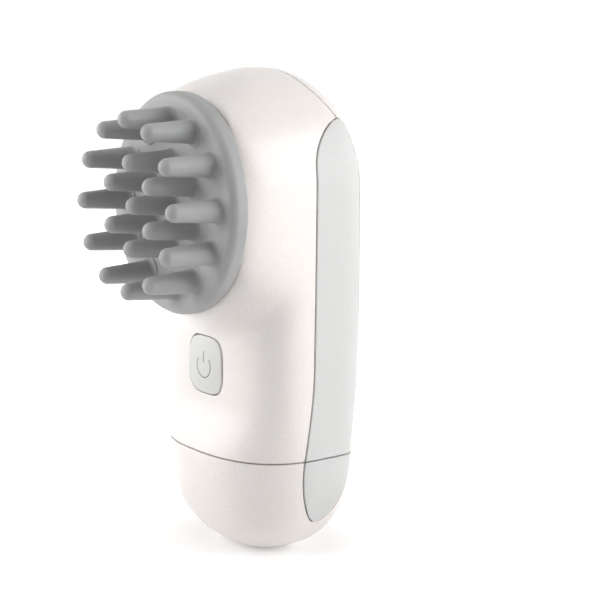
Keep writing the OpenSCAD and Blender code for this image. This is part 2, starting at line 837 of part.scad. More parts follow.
module board_screws() {
    color(steel) for (side = [-1, 1], z = board_post_z)
        screw_y(side * post_x, z, board_front + board_t + press_clear, board_front - 3.6,
            board_screw_r - press_clear, 1.5, 0.9);
}

module tact_switch() {
    color(black) difference() {
        translate([0, (switch_front + board_front) / 2, button_z])
            cube([switch_size, switch_t - press_clear, switch_size], center = true);
        rod_y(0, button_z, switch_front - 1, switch_front + switch_t - 0.5, plunger_r + run_clear);
    }
}

module switch_plunger() {
    back = switch_front + switch_t - 0.7 - button_travel;
    color(silicone_grey) rod_y(0, button_z, plunger_tip, back, plunger_r);
}

// Involute spur gear drawn with a tooth on the X axis
function involute(base, t) =
    [base * (cos(t) + t * PI / 180 * sin(t)), base * (sin(t) - t * PI / 180 * cos(t))];

module gear_outline(teeth) {
    pitch = gear_module * teeth / 2;
    base = pitch * cos(pressure_angle);
    tip = pitch + gear_module * 0.95;
    root = pitch - gear_module * 1.2;
    flank_steps = 5;
    pitch_t = tan(pressure_angle) * 180 / PI;
    pitch_polar = pitch_t - pressure_angle;
    half_tooth = 90 / teeth - gear_backlash / pitch * 180 / PI / 2;
    shift = half_tooth + pitch_polar;
    tip_t = sqrt(pow(tip / base, 2) - 1) * 180 / PI;
    flank = [for (i = [0 : flank_steps]) let (p = involute(base, tip_t * i / flank_steps)) p];
    polar = [for (p = flank) [norm(p), atan2(p[1], p[0])]];
    polygon([for (k = [0 : teeth - 1]) let (mid = 360 * k / teeth) each concat(
        [let (g = mid - shift) root * [cos(g), sin(g)]],
        [for (q = polar) if (q[0] > root) let (g = mid - shift + q[1]) q[0] * [cos(g), sin(g)]],
        [for (i = [flank_steps : -1 : 0]) let (q = polar[i]) if (q[0] > root)
            let (g = mid + shift - q[1]) q[0] * [cos(g), sin(g)]],
        [let (g = mid + shift) root * [cos(g), sin(g)]]
    )]);
}

// A gear on an axis along Y at height z, turned so that a tooth or a gap meets its mate
module gear_y(teeth, z, y0, y1, turn) {
    translate([0, 0, z]) slab_y(y0, y1) rotate(turn) gear_outline(teeth);
}

module output_gear() {
    color("#e8e4d4") difference() {
        union() {
            gear_y(output_teeth, head_z, output_front, output_front + output_t, -90 + 180 / output_teeth);
            rod_y(0, head_z, output_front, cover_front - 0.6, shaft_r + 2);
        }
        rod_y(0, head_z, output_front - 1, cover_front, shaft_r + press_clear);
    }
}

module compound_gear() {
    color("#e8e4d4") difference() {
        union() {
            gear_y(spur_teeth, idler_z, output_front, wheel_front + 0.5, 90);
            gear_y(wheel_teeth, idler_z, wheel_front, wheel_front + wheel_t, -90 + 180 / wheel_teeth);
        }
        rod_y(0, idler_z, output_front - 1, wheel_front + wheel_t + 1, axle_r + run_clear);
    }
}

module idler_axle() {
    color(steel) rod_y(0, idler_z, frame_front + 1.2, cover_front + cover_t - 0.2, axle_r);
}

module motor_pinion() {
    color(brass) difference() {
        gear_y(pinion_teeth, motor_z, wheel_front - 0.2, wheel_front + wheel_t + 0.5, 90);
        rod_y(0, motor_z, wheel_front - 2, wheel_front + wheel_t + 2, motor_shaft_r + press_clear);
    }
}

module motor_shaft() {
    color(steel) rod_y(0, motor_z, wheel_front - 0.2, motor_front + motor_l - 1, motor_shaft_r);
}

// Round can with two flats, open at the rear where the end cap enters
module can_outline(r, flat) {
    intersection() {
        circle(r = r, $fn = 96);
        square([3 * r, flat], center = true);
    }
}

module motor_can() {
    can_wall = 0.9;
    rear = motor_front + motor_l;
    color(steel) difference() {
        translate([0, 0, motor_z]) slab_y(motor_front, rear) can_outline(motor_d / 2, motor_flat);
        translate([0, 0, motor_z]) slab_y(motor_front + can_wall, rear + 1)
            can_outline(motor_d / 2 - can_wall, motor_flat - 2 * can_wall);
        rod_y(0, motor_z, motor_front - 1, rear, motor_shaft_r + run_clear);
        for (side = [-1, 1])
            rod_y(side * motor_screw_x, motor_z, motor_front - 1, motor_front + 2, screw_shank_r);
    }
}

module motor_end_cap() {
    rear = motor_front + motor_l;
    color(black) {
        translate([0, 0, motor_z]) slab_y(rear + press_clear, rear + motor_cap_l)
            can_outline(motor_d / 2, motor_flat);
        for (side = [-1, 1])
            translate([side * 5.5, rear + motor_cap_l + 0.6, motor_z]) cube([2, 1.4, 0.5], center = true);
    }
}

module motor_screws() {
    color(steel) for (side = [-1, 1])
        translate([0, cover_front, 0]) mirror([0, 1, 0])
            screw_y(side * motor_screw_x, motor_z,
                press_clear, -cover_t - 1.6, screw_shank_r - press_clear, 1.7, 0.8);
}

// Outline of the gearbox, less is the distance inside its outer face
module box_outline(less, ears) {
    translate([0, head_z]) circle(r = box_r - less, $fn = 96);
    translate([-box_half_w + less, box_low_z + less])
        square([2 * (box_half_w - less), head_z - box_low_z - less]);
    for (side = [-1, 1], ear = ears)
        translate([side * ear[0], ear[1]]) circle(r = ear_r, $fn = 48);
}

// The part of the outline that reaches forward into the neck
module box_nose(less, ears) {
    intersection() {
        box_outline(less, ears);
        translate([0, head_z]) circle(r = step_r - less, $fn = 128);
    }
}

module box_holes(y0, y1) {
    for (side = [-1, 1], ear = [ear_low, ear_high])
        rod_y(side * ear[0], ear[1], y0, y1, screw_shank_r + 0.15);
}

// Gearbox frame: front plates with the bush and seal seats, and a wall open to the rear
module gearbox_frame() {
    plate_back = frame_front + frame_plate;
    color(black) difference() {
        union() {
            slab_y(frame_front, cover_front - press_clear) box_nose(0, [ear_high]);
            slab_y(step_front, cover_front - press_clear) box_outline(0, [ear_low, ear_high]);
        }
        slab_y(plate_back, cover_front + 1) box_nose(box_wall, []);
        slab_y(step_front + step_plate, cover_front + 1) box_outline(box_wall, []);
        rod_y(0, head_z, frame_front - 1, frame_front + seal_t + 0.1, seal_r + press_clear);
        rod_y(0, head_z, frame_front, plate_back + 1, bush_r + press_clear);
        rod_y(0, idler_z, frame_front + 1.2, plate_back + 1, axle_r + press_clear);
        box_holes(frame_front - 1, cover_front + 1);
    }
}

module gearbox_cover() {
    back = cover_front + cover_t;
    color(black) difference() {
        slab_y(cover_front, back) box_outline(0, [ear_low, ear_high]);
        rod_y(0, head_z, cover_front - 1, back + 1, bush_r + press_clear);
        rod_y(0, idler_z, cover_front - 1, back + 1, axle_r + press_clear);
        rod_y(0, motor_z, cover_front - 1, back + 1, motor_shaft_r + 2);
        for (side = [-1, 1])
            rod_y(side * motor_screw_x, motor_z, cover_front - 1, back + 1, screw_shank_r + 0.1);
        box_holes(cover_front - 1, back + 1);
    }
}

module gearbox_screws() {
    back = cover_front + cover_t;
    color(steel) for (side = [-1, 1], ear = [ear_low, ear_high])
        screw_y(side * ear[0], ear[1], back + press_clear, box_screw_deep + 0.4,
            screw_shank_r - press_clear, screw_head_r, screw_head_h);
}

module bush(y0, y1) {
    color(brass) difference() {
        rod_y(0, head_z, y0, y1, bush_r);
        rod_y(0, head_z, y0 - 1, y1 + 1, shaft_r + run_clear);
    }
}

module front_bush() { bush(frame_front + seal_t + 0.15, frame_front + frame_plate); }
module rear_bush() { bush(cover_front, cover_front + cover_t + 0.8); }

module shaft_seal() {
    color(silicone_grey) difference() {
        rod_y(0, head_z, frame_front, frame_front + seal_t, seal_r);
        rod_y(0, head_z, frame_front - 1, frame_front + seal_t + 1, shaft_r + run_clear);
    }
}

clip_y = cover_front + cover_t + 1;
clip_t = 0.6;

module output_shaft() {
    color(steel) difference() {
        rod_y(0, head_z, hub_front + 0.6, clip_y + clip_t + 1, shaft_r);
        difference() {
            rod_y(0, head_z, clip_y, clip_y + clip_t, shaft_r + 1);
            rod_y(0, head_z, clip_y - 1, clip_y + clip_t + 1, shaft_r - 0.5);
        }
    }
}

// Open ring in the groove at the shaft's rear end
module shaft_clip() {
    color(steel) difference() {
        rod_y(0, head_z, clip_y + press_clear, clip_y + clip_t - press_clear, shaft_r + 1.1);
        rod_y(0, head_z, clip_y - 1, clip_y + clip_t + 1, shaft_r - 0.5 + press_clear);
        translate([-1.5, clip_y - 1, head_z - long_way / 4]) cube([3, clip_t + 2, long_way / 4]);
    }
}

// Lug seen along Y: a short bar across a radius, grown by more
module lug_outline(more) {
    for (k = [0 : lugs - 1])
        rotate(90 + 360 * k / lugs) translate([lug_r - lug_t / 2 - more, -lug_w / 2 - more])
            square([lug_t + 2 * more, lug_w + 2 * more]);
}

// Hub in the neck's opening: slots for the head's lugs and a hexagon that drives it
module drive_hub() {
    hub_back = hub_front + hub_t;
    color(grip_grey) difference() {
        union() {
            rod_y(0, head_z, hub_front, hub_back, neck_hole_r - 0.5, 96);
            rod_y(0, head_z, hub_front - hex_h, hub_front + 0.5, hex_d / 2, 6);
            rod_y(0, head_z, hub_back - 0.5, frame_front - 0.2, shaft_r + 1.8);
        }
        rod_y(0, head_z, hub_front + 0.6, frame_front, shaft_r + press_clear);
        translate([0, 0, head_z]) slab_y(hub_front - 0.5, hub_back + 0.5) lug_outline(clip_clear);
    }
}

head_back = -neck_y - head_gap;

// Rigid carrier in the pad's back, with a hexagon socket and lugs that clip into the hub
module head_carrier() {
    socket_r = hex_d / 2 + 2.2;
    socket_front = hub_front - hex_h - 1;
    color(grip_grey) difference() {
        union() {
            rod_y(0, head_z, head_back - carrier_t, head_back, carrier_r, 96);
            rod_y(0, head_z, socket_front, head_back, socket_r);
            translate([0, 0, head_z]) slab_y(head_back - 0.5, hub_front + hub_t + 0.6) lug_outline(0);
        }
        rod_y(0, head_z, hub_front - hex_h - clip_clear, head_back + 1, hex_d / 2 + clip_clear, 6);
    }
}

// Finger profile turned round its axis: round tip, slender cone and a flared root, foot at z 0
module finger(length) {
    tip = finger_tip_r;
    flare = finger_fillet;
    sink = 1;
    fillet = [for (a = [0 : 15 : 90]) [finger_root_r + flare - flare * sin(a), flare - flare * cos(a)]];
    cap = [for (a = [0 : 10 : 90]) [tip * cos(a), length - tip + tip * sin(a)]];
    rotate_extrude($fn = 48)
        polygon(concat([[0, -sink], [finger_root_r + flare, -sink]], fillet, cap));
}

// Depth of the dished face below the rim plane at a radius from the pad's middle
dish_edge_r = pad_r - pad_edge_r - 2;
function dish_depth(r) = pad_dish * (1 - pow(min(1, r / dish_edge_r), 3));

module finger_at(r, turn, drop) {
    rim = head_back - pad_t;
    foot = rim + dish_depth(r);
    translate([r * sin(turn), foot, head_z + r * cos(turn)]) rotate([90, 0, 0])
        finger(finger_l + dish_depth(r) - drop);
}

// Silicone pad: rounded rim, dished face, pocket for the carrier and rings of fingers
module massage_pad() {
    back_edge = 0.8;
    rim = [for (a = [0 : 10 : 90])
        [pad_r - pad_edge_r + pad_edge_r * cos(a), pad_t - pad_edge_r + pad_edge_r * sin(a)]];
    dish = [for (i = [0 : 8]) let (r = dish_edge_r * (1 - i / 8)) [r, pad_t - dish_depth(r)]];
    heel = [for (a = [-90 : 15 : 0])
        [pad_r - back_edge + back_edge * cos(a), back_edge + back_edge * sin(a)]];
    socket_r = hex_d / 2 + 2.2;
    socket_deep = hub_front - hex_h - 1;
    color(silicone_grey) difference() {
        union() {
            translate([0, head_back, head_z]) rotate([90, 0, 0])
                rotate_extrude($fn = 120) polygon(concat([[0, 0]], heel, rim, dish));
            finger_at(0, 0, middle_drop);
            for (k = [0 : inner_fingers - 1]) finger_at(ring_inner_r, 360 * k / inner_fingers, inner_drop);
            for (k = [0 : outer_fingers - 1]) finger_at(ring_outer_r, 360 * k / outer_fingers, 0);
        }
        rod_y(0, head_z, head_back - carrier_t - press_clear, head_back + 1, carrier_r + press_clear, 96);
        rod_y(0, head_z, socket_deep - press_clear, head_back + 1, socket_r + press_clear);
    }
}

front_shell();
rear_shell();
side_grip_left();
side_grip_right();
shell_screws();
battery_cap();
cap_grip_left();
cap_grip_right();
cap_seal();
cap_contact_bridge();
cap_contact_spring();
power_button();
button_seal();
circuit_board();
board_screws();
tact_switch();
switch_plunger();
battery_holder();
battery_left();
battery_right();
top_contact_plates();
top_contact_spring();
battery_leads();
motor_leads();
motor_can();
motor_end_cap();
motor_shaft();
motor_pinion();
motor_screws();
gearbox_frame();
gearbox_cover();
gearbox_screws();
compound_gear();
idler_axle();
output_gear();
output_shaft();
front_bush();
rear_bush();
shaft_seal();
shaft_clip();
drive_hub();
head_carrier();
massage_pad();
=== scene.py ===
import json
import math
import bmesh
import bpy
import numpy as np
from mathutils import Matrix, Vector
from mathutils.bvhtree import BVHTree


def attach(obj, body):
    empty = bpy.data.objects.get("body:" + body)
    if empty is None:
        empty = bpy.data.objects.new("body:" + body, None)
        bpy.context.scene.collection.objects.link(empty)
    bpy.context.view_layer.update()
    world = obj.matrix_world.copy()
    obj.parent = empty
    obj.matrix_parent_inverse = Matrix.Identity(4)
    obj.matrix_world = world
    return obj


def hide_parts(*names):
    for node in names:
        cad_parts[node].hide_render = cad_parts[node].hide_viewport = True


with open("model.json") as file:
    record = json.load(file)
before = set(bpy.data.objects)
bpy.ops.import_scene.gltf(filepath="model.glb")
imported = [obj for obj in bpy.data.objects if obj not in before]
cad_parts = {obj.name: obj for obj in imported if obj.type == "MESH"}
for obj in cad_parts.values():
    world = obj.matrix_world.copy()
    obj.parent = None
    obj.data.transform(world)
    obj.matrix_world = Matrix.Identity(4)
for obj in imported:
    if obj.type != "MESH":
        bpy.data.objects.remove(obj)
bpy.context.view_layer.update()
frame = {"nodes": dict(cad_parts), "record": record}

print("stage: packed model loaded,", len(frame["nodes"]), "nodes")

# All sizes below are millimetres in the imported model's frame: Z up the handle, -Y towards the fingers.
mm = 0.001

# The handle's outer surface; shells, cap and grips are cut from it further down.
# Powers say how square a section or dome is, and the two arcs are the domes' lengths from edge to pole.
handleForm = {
    "height": 150.0, "width": 63.5, "frontDepth": 21.0, "backDepth": 20.0,
    "frontPower": 3.6, "backPower": 5.5,
    "toeDepth": 4.5, "toePower": 2.4, "toeZ": 50.0, "toeLength": 22.0,
    "footDome": 29.0, "footFlat": 1.0, "footPower": 2.2, "footArc": 46.0,
    "crownDome": 35.0, "crownPower": 1.9, "crownArc": 54.0,
    "bellyZ": 88.0, "backTaper": 7.0, "sideTaper": 1.0, "taperPower": 1.5,
    "headZ": 109.8, "neckY": 27.8, "neckRadius": 32.0, "neckFlare": 11.0,
    "neckStart": 0.25, "neckSquare": 0.8, "neckHole": 14.6,
    "capZ": 33.0, "capGap": 0.4,
    "seamY": 11.0, "seamBendZ": 133.0, "seamLean": 9.5, "seamGap": 0.2,
    "screwHoles": [(21.5, 47.0), (-21.5, 47.0), (19.0, 126.3), (-19.0, 126.3)], "screwHoleRadius": 2.2,
}


def smoothStep(t):
    # 0 up to t = 0, then 3t^2 - 2t^3, and 1 from t = 1
    t = np.clip(t, 0, 1)
    return t * t * (3 - 2 * t)


def handleSkin(z, turn, inset=0.0):
    # Section at height z: superellipse |x/a|^p + |y/d|^p = 1, with a and d drawn in over foot and crown.
    # Below the button the front half gets deeper and rounder (the toe).
    # Near the head each point is pulled to the flat neck face, by a cosine fillet round the neck's circle.
    form = handleForm
    z, turn = np.broadcast_arrays(np.asarray(z, float), np.radians(np.asarray(turn, float)))
    crownZ = form["height"] - form["crownDome"]
    low = np.clip((form["bellyZ"] - z) / form["bellyZ"], 0, None) ** form["taperPower"]
    foot = np.clip((form["footDome"] - z) / (form["footDome"] + form["footFlat"] - inset), 0, 1)
    crown = np.clip((z - crownZ) / (form["crownDome"] - inset), 0, 1)
    least = 2e-5                                  # keeps the section from shrinking to nothing at a pole
    swell = np.maximum(1 - foot ** form["footPower"], least) ** (1 / form["footPower"])
    swell = swell * np.maximum(1 - crown ** form["crownPower"], least) ** (1 / form["crownPower"])
    front = np.cos(turn) > 0
    toe = smoothStep((form["toeZ"] - z) / form["toeLength"])
    frontDepth = form["frontDepth"] + form["toeDepth"] * toe
    backDepth = form["backDepth"] - form["backTaper"] * low
    a = (form["width"] / 2 - form["sideTaper"] * low - inset) * swell
    d = (np.where(front, frontDepth, backDepth) - inset) * swell
    p = np.where(front, form["frontPower"] + (form["toePower"] - form["frontPower"]) * toe, form["backPower"])
    r = ((np.abs(np.sin(turn)) / a) ** p + (np.abs(np.cos(turn)) / d) ** p) ** (-1 / p)
    x, y = r * np.sin(turn), -r * np.cos(turn)
    reach = (np.hypot(x, z - form["headZ"]) - form["neckRadius"] + inset) / form["neckFlare"]
    share = (1 + np.cos(np.pi * np.clip(reach, 0, 1))) / 2
    forward = smoothStep((-y / d - form["neckStart"]) / (form["neckSquare"] - form["neckStart"]))
    pull = np.where(y < 0, forward * share, 0)
    return np.stack([x, y - (form["neckY"] - inset + y) * pull, z], -1)


# Lines that divide the handle's surface: each is a field of (z, turn), positive on the side that is kept
def lineAt(height, side):
    # Level line: distance above it (side 1) or below it (side -1)
    return lambda z, turn: side * (z - height)


def seamLine(y, side):
    # Plane that parts the front shell from the rear one: upright, then leaning forward at the crown
    bendZ = handleForm["seamBendZ"]
    lean = handleForm["seamLean"] / (handleForm["height"] + 1 - bendZ)
    return lambda z, turn: side * (handleSkin(z, turn)[..., 1] - y + lean * np.maximum(0, z - bendZ))


# Degrees round the handle: turn, spread, widen, leanTop and leanFoot. Lengths and heights are millimetres.
gripForm = {
    "top": 134.9, "foot": 12.2, "turn": 99.7, "spread": 14.0, "widen": 2.0,
    "leanTop": 12.0, "leanPower": 2.4, "leanFoot": 6.6, "leanFrom": 60.0, "leanLength": 40.0,
    "roundTop": 15.0, "roundFoot": 19.0,
    "thickness": 1.1, "gap": 0.35, "proud": 0.15,
}


def gripLine(side, inside):
    # Long rounded outline: (turn / spread)^2 + t^2 = 1, where t grows from 0 to 1 over each rounded end.
    # Its middle leans back at the crown and forward at the foot, and it widens towards the foot.
    grip = gripForm

    def field(z, turn):
        up = (z - grip["top"] + grip["roundTop"]) / grip["roundTop"]
        middle = grip["turn"] + grip["leanTop"] * np.maximum(0, up) ** grip["leanPower"]
        middle = middle - grip["leanFoot"] * smoothStep((grip["leanFrom"] - z) / grip["leanLength"])
        wide = grip["spread"] + grip["widen"] * (grip["top"] - z) / (grip["top"] - grip["foot"])
        across = ((turn - side * middle + 180) % 360 - 180) / wide
        down = (grip["foot"] + grip["roundFoot"] - z) / grip["roundFoot"]
        t = np.maximum(0, np.maximum(up, down))
        level = np.where(t > 1.2, t, np.sqrt(across ** 2 + t ** 2)) - 1   # well past an end only t counts
        return -level if inside else level
    return field


def holeLine(x, z, radius, side, farAway=40.0):
    # Round hole along Y: side -1 on the front, 1 on the back. The other side counts as far away.
    def field(height, turn):
        p = handleSkin(height, turn)
        return np.where(side * p[..., 1] > 0, np.hypot(p[..., 0] - x, p[..., 2] - z) - radius, farAway)
    return field


buttonForm = {
    "width": 17.7, "height": 17.9, "z": 59.5, "power": 3.4, "proud": 0.9, "gap": 0.3,
    "crownRadius": 70.0, "edge": 0.45, "flange": 1.4, "flangeBack": -17.9, "flangeFront": -18.9,
    "stemRadius": 2.4, "stemEnd": -16.22, "turnStep": 3.0, "faceRings": 14, "pole": 0.001, "sharp": 50.0,
}


def buttonLine(z, turn, farAway=2.0):
    # Superellipse of the button's opening, (|2x/width|^p + |2z/height|^p)^(1/p) - 1, on the front only
    power = buttonForm["power"]
    p = handleSkin(z, turn)
    across = np.abs(2 * p[..., 0] / buttonForm["width"])
    upward = np.abs(2 * (p[..., 2] - buttonForm["z"]) / buttonForm["height"])
    level = (across ** power + upward ** power) ** (1 / power)
    return np.where(p[..., 1] < 0, level - 1, farAway)


def surfaceDistance(field, place, inset):
    # Distance in mm along the surface from the line where the field is 0: its value over its slope, where the
    # slope is measured with the surface's own lengths e, g, m. Also the step in (z, turn) that gains 1 mm.
    z, turn = place[:, 0], place[:, 1]
    h = 1e-3                                      # mm and degrees between the two points of each slope
    back = np.where(z > handleForm["height"] - 1, -h, h)
    p, value = handleSkin(z, turn, inset), field(z, turn)
    pz = (handleSkin(z + back, turn, inset) - p) / back[:, None]
    pt = (handleSkin(z, turn + h, inset) - p) / h
    fz, ft = (field(z + back, turn) - value) / back, (field(z, turn + h) - value) / h
    e, g, m = (pz * pz).sum(1), (pz * pt).sum(1), (pt * pt).sum(1)
    area = np.maximum(e * m - g * g, 1e-12)
    stepZ, stepTurn = (m * fz - g * ft) / area, (e * ft - g * fz) / area
    slope = np.sqrt(np.maximum(fz * stepZ + ft * stepTurn, 1e-12))
    return value / slope, np.stack([stepZ, stepTurn], 1) / slope[:, None]


def clipToLine(place, tris, field, inset, margin, snap=0.12):
    # Keeps the part of the surface that lies more than margin inside the line, and cuts the triangles where
    # the line crosses them. A corner closer to the line than snap is moved onto it.
    distance, step = surfaceDistance(field, place, inset)
    distance = distance - margin
    near = np.abs(distance) < snap
    place = place - np.where(near, distance, 0)[:, None] * step
    distance = np.where(near, 0, distance)
    out = distance < 0
    touched = out[tris].any(1)
    lost = (distance[tris] <= 0).all(1)
    whole, cut = tris[~touched & ~lost], tris[touched & ~lost]
    if not len(cut):
        return place, whole
    many = out[cut].sum(1)                        # corners of each cut triangle that lie outside, 1 or 2
    odd = np.where(many == 1, out[cut].argmax(1), (~out[cut]).argmax(1))
    cut = np.take_along_axis(cut, (odd[:, None] + np.arange(3)) % 3, 1)
    edges = np.sort(np.concatenate([cut[:, [0, 1]], cut[:, [0, 2]]]), 1)
    edges, index = np.unique(edges, axis=0, return_inverse=True)
    index = index.reshape(-1)
    a, b = edges[:, 0], edges[:, 1]
    share = distance[a] / np.where(distance[a] == distance[b], 1, distance[a] - distance[b])
    turnGap = (place[b, 1] - place[a, 1] + 180) % 360 - 180
    new = place[a] + share[:, None] * np.stack([place[b, 0] - place[a, 0], turnGap], 1)
    c01, c02 = index[:len(cut)] + len(place), index[len(cut):] + len(place)
    one, two = many == 2, many == 1
    made = [np.stack([cut[one, 0], c01[one], c02[one]], 1),
            np.stack([c01[two], cut[two, 1], cut[two, 2]], 1), np.stack([c01[two], cut[two, 2], c02[two]], 1)]
    return np.concatenate([place, new]), np.concatenate([whole] + made)


def meshObject(name, points, faces, normals=None, sharpAngle=None):
    # Smooth-shaded object from points in mm, with its normals given or its edges over an angle left sharp
    mesh = bpy.data.meshes.new(name)
    mesh.from_pydata((np.asarray(points) * mm).tolist(), [], faces)
    mesh.polygons.foreach_set("use_smooth", np.ones(len(mesh.polygons), bool))
    if sharpAngle:
        mesh.set_sharp_from_angle(angle=math.radians(sharpAngle))
    if normals is not None:
        mesh.normals_split_custom_set_from_vertices(normals.tolist())
    obj = bpy.data.objects.new(name, mesh)
    bpy.context.scene.collection.objects.link(obj)
    return obj


# Rows and columns of the panels' grids. Columns are swung towards the section's corners by swing and ripple.
panelForm = {"step": 0.8, "around": 240, "gripStep": 0.7, "gripAround": 320, "swing": 12.0, "ripple": 6.0}
edgeAngles = np.radians([22.5, 45.0, 67.5, 90.0])   # rows of a rounded edge


def surfaceGrid(heights, columns):
    # Rows of (z, turn) joined into triangles all the way round, with turn = u + swing sin 2u + ripple sin 4u
    u = np.arange(columns) * 360.0 / columns
    twice = 2 * np.radians(u)
    turn = u + panelForm["swing"] * np.sin(twice) + panelForm["ripple"] * np.sin(2 * twice)
    place = np.stack(np.meshgrid(heights, turn, indexing="ij"), -1).reshape(-1, 2)
    i, j = np.meshgrid(np.arange(len(heights) - 1), np.arange(columns), indexing="ij")
    a, b = (i * columns + j).ravel(), (i * columns + (j + 1) % columns).ravel()
    c, d = b + columns, a + columns
    return place, np.concatenate([np.stack([a, b, c], 1), np.stack([a, c, d], 1)])


def unit(vectors):
    # Each vector over its own length
    return vectors / np.maximum(np.linalg.norm(vectors, axis=1), 1e-12)[:, None]


def trimmedSurface(heights, columns, lines, proud, edge, pole):
    # The grid cut by each line, its equal points merged; at a pole the last ring is closed by one point
    place, tris = surfaceGrid(heights, columns)
    for field, gap in lines:
        place, tris = clipToLine(place, tris, field, -proud, gap + edge)
    points = handleSkin(place[:, 0], place[:, 1], -proud)
    if pole is not None:
        ring = np.arange(columns) + (len(heights) - 1 if pole == "top" else 0) * columns
        ahead = np.roll(ring, -1)
        fan = [ring, ahead] if pole == "top" else [ahead, ring]
        tris = np.concatenate([tris, np.stack(fan + [np.full(columns, len(points))], 1)])
        points = np.concatenate([points, points[ring].mean(0)[None]])
    _, first, same = np.unique(np.round(points, 4), axis=0, return_index=True, return_inverse=True)
    tris = same.reshape(-1)[tris]
    points = points[first]
    tris = tris[(tris[:, 0] != tris[:, 1]) & (tris[:, 1] != tris[:, 2]) & (tris[:, 0] != tris[:, 2])]
    used, tris = np.unique(tris, return_inverse=True)
    return points[used], tris.reshape(-1, 3)


def panel(name, heights, columns, lines, proud=0.0, edge=0.3, depth=1.0, pole=None):
    # A panel of the handle's surface, trimmed by its lines: rounded edges, side walls and an underside
    points, tris = trimmedSurface(heights, columns, lines, proud, edge, pole)
    count = len(points)
    across = np.cross(points[tris[:, 1]] - points[tris[:, 0]], points[tris[:, 2]] - points[tris[:, 0]])
    normals = np.zeros_like(points)               # of the outer surface, weighted by area
    for k in range(3):
        np.add.at(normals, tris[:, k], across)
    normals = unit(normals)

    # The border is every directed edge without its opposite; outward points off the panel along the surface
    directed = np.concatenate([tris[:, [0, 1]], tris[:, [1, 2]], tris[:, [2, 0]]])
    key, back = directed[:, 0] * count + directed[:, 1], directed[:, 1] * count + directed[:, 0]
    border = directed[~np.isin(key, back)]
    after, before = np.arange(count), np.arange(count)
    after[border[:, 0]], before[border[:, 1]] = border[:, 1], border[:, 0]
    rim = np.unique(border[:, 0])
    slot = np.zeros(count, int)
    slot[rim] = np.arange(len(rim))
    outward = unit(np.cross(points[after[rim]] - points[before[rim]], normals[rim]))
    for _ in range(2):                            # evens out the direction from point to point
        outward = unit(outward + 0.5 * (outward[slot[after[rim]]] + outward[slot[before[rim]]]))

    # Edge rows: a quarter circle of the edge's radius, then the wall, then back to the underside's border
    rows, rowNormals = [], []
    for angle in edgeAngles:
        s, c = math.sin(angle), math.cos(angle)
        rows.append(points[rim] + outward * edge * s - normals[rim] * edge * (1 - c))
        rowNormals.append(normals[rim] * c + outward * s)
    rows.append(points[rim] + outward * edge - normals[rim] * depth)
    rowNormals.append(outward)
    allPoints = np.concatenate([points] + rows + [points - normals * depth])
    allNormals = np.concatenate([normals] + rowNormals + [-normals])
    start = count + len(rows) * len(rim)
    ids = [rim] + [count + k * len(rim) + np.arange(len(rim)) for k in range(len(rows))] + [start + rim]
    a, b = slot[border[:, 0]], slot[border[:, 1]]
    walls = [np.stack([low[a], low[b], high[b], high[a]], 1) for high, low in zip(ids[:-1], ids[1:])]
    faces = tris.tolist() + (tris[:, ::-1] + start).tolist() + np.concatenate(walls).tolist()
    return meshObject(name, allPoints, faces, allNormals)


def domeHeights(low, high, step):
    # Heights between two levels, about one row a step along each dome's arc: dome height times a sine
    form = handleForm
    crownZ = form["height"] - form["crownDome"]
    foot = form["footDome"] * (1 - np.sin(np.linspace(math.pi / 2, 0, int(form["footArc"] / step))))
    middle = np.arange(form["footDome"] + step, crownZ, step)
    crown = crownZ + form["crownDome"] * np.sin(np.linspace(0, math.pi / 2, int(form["crownArc"] / step)))
    z = np.concatenate([foot, middle, crown])
    z[-1] = form["height"] - 1e-4                 # just short of the pole
    return z[(z >= low) & (z <= high)]


upper = lineAt(handleForm["capZ"] + handleForm["capGap"] / 2, 1)
lower = lineAt(handleForm["capZ"] - handleForm["capGap"] / 2, -1)
besideGrips = [(gripLine(1, False), gripForm["gap"]), (gripLine(-1, False), gripForm["gap"])]
frontSide = seamLine(handleForm["seamY"] - handleForm["seamGap"] / 2, -1)
rearSide = seamLine(handleForm["seamY"] + handleForm["seamGap"] / 2, 1)
neckHole = holeLine(0, handleForm["headZ"], handleForm["neckHole"], -1)
screwHoles = [(holeLine(x, z, handleForm["screwHoleRadius"], 1), 0) for x, z in handleForm["screwHoles"]]
shellRows = domeHeights(handleForm["capZ"] - 1, handleForm["height"], panelForm["step"])
capRows = domeHeights(0, handleForm["capZ"] + 1, panelForm["step"])

frontShell = panel(
    "frontShellSkin", shellRows, panelForm["around"],
    [(upper, 0), (frontSide, 0)] + besideGrips + [(neckHole, 0), (buttonLine, buttonForm["gap"])], pole="top")
rearShell = panel(
    "rearShellSkin", shellRows, panelForm["around"], [(upper, 0), (rearSide, 0)] + besideGrips + screwHoles)
batteryCap = panel("batteryCapSkin", capRows, panelForm["around"], [(lower, 0)] + besideGrips, pole="foot")
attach(frontShell, "handle")
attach(rearShell, "handle")
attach(batteryCap, "cap")

sideRows = domeHeights(handleForm["capZ"] - 1, gripForm["top"] + 1, panelForm["gripStep"])
endRows = domeHeights(gripForm["foot"] - 1, handleForm["capZ"] + 1, panelForm["gripStep"])
grips = {}
for side, word in ((1, "Right"), (-1, "Left")):
    for part, rows, level in (("side", sideRows, upper), ("cap", endRows, lower)):
        grips[part + word] = panel(
            part + "Grip" + word, rows, panelForm["gripAround"], [(gripLine(side, True), 0), (level, 0)],
            proud=gripForm["proud"], depth=gripForm["thickness"] + gripForm["proud"])
    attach(grips["side" + word], "handle")
    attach(grips["cap" + word], "cap")
print("stage: handle skins made")

insideForm = {"near": 0.45, "step": 1.2, "around": 160, "merge": 0.001, "sharp": 30.0}


